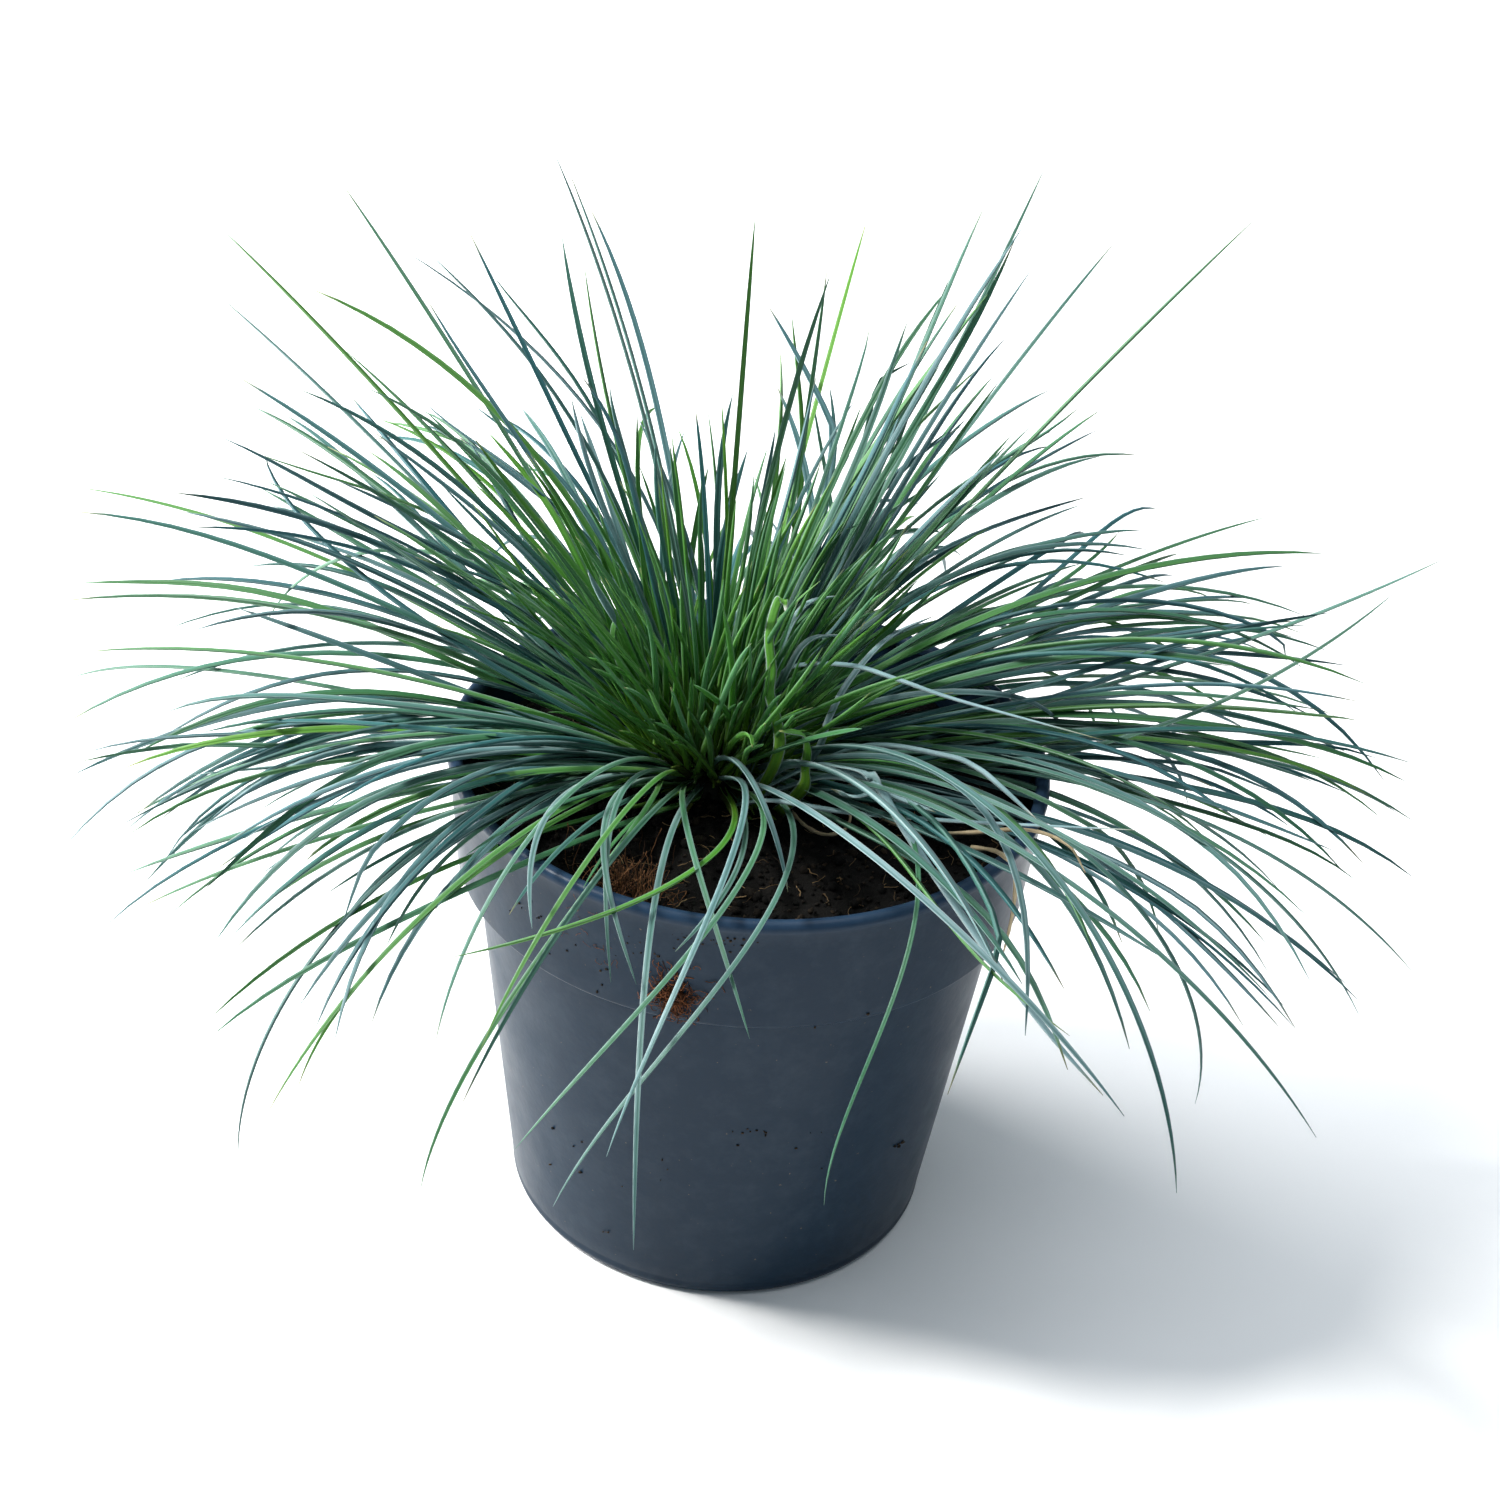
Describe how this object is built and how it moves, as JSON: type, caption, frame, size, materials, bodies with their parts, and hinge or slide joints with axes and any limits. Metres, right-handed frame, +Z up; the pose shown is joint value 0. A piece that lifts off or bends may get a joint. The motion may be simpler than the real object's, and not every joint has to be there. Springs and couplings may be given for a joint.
{
  "type": "potted ornamental grass",
  "caption": "Round tapering nursery pot of soil holding a low tussock of fine blue-green grass blades that fan out over the rim.",
  "frame": {"origin": "on the pot's axis, in the plane its base stands on", "axes": "+Z up along the pot's axis, -Y towards the front, where the longest blades hang over the rim, +X to the right seen from the front"},
  "size_m": [0.3009, 0.2674, 0.2454],
  "materials": {
    "pot_plastic": "satin moulded, slate blue, scuffed and dusty",
    "soil": "damp and crumbly, with fibre specks",
    "leaf_base": "smooth yellow-green leaf sheaths",
    "leaf": "waxy, blue-green to pale grey-green",
    "dry_leaf": "papery, straw coloured",
    "coir": "rough reddish-brown fibre"
  },
  "bodies": {
    "root": {"pot": "pot_plastic", "potting_soil": "soil", "crown": "leaf_base", "leaf_front_hanging": "leaf", "leaf_front_crossing": "leaf", "leaf_front_left_green": "leaf", "leaf_front_left_pale": "leaf", "leaf_short_green": "leaf", "leaf_front_spur": "leaf", "leaf_short_pale": "leaf", "leaf_front_right_pale": "leaf", "leaf_folded": "leaf", "leaf_curled": "leaf", "leaf_bent": "leaf", "leaf_left_hanging": "leaf", "leaf_left_low": "leaf", "leaf_left_slender": "leaf", "leaf_right_hanging": "leaf", "leaf_right_hooked": "leaf", "leaf_right_low": "leaf", "leaf_right_slender": "leaf", "leaf_right_outer": "leaf", "leaf_right_reach": "leaf", "leaf_right_level": "leaf", "leaf_right_spike": "leaf", "leaf_back_right": "leaf", "leaf_back_green": "leaf", "leaf_top_green": "leaf", "leaf_top_spike": "leaf", "leaf_back_left": "leaf", "leaf_back_left_green": "leaf", "leaf_left_spike": "leaf", "leaf_left_level": "leaf", "leaf_left_reach": "leaf", "tiller_low_1": "leaf", "tiller_low_2": "leaf", "tiller_low_3": "leaf", "tiller_low_4": "leaf", "tiller_low_5": "leaf", "tiller_low_6": "leaf", "tiller_low_7": "leaf", "tiller_low_8": "leaf", "tiller_low_9": "leaf", "tiller_low_10": "leaf", "tiller_low_11": "leaf", "tiller_low_12": "leaf", "tiller_middle_1": "leaf", "tiller_middle_2": "leaf", "tiller_middle_3": "leaf", "tiller_middle_4": "leaf", "tiller_middle_5": "leaf", "tiller_middle_6": "leaf", "tiller_upper_1": "leaf", "tiller_upper_2": "leaf", "tiller_upper_3": "leaf", "dry_runner": "dry_leaf", "dry_leaf_lying": "dry_leaf", "dry_leaf_hanging": "dry_leaf", "coir_tuft": "coir", "coir_smear": "coir"}
  },
  "joints": []
}
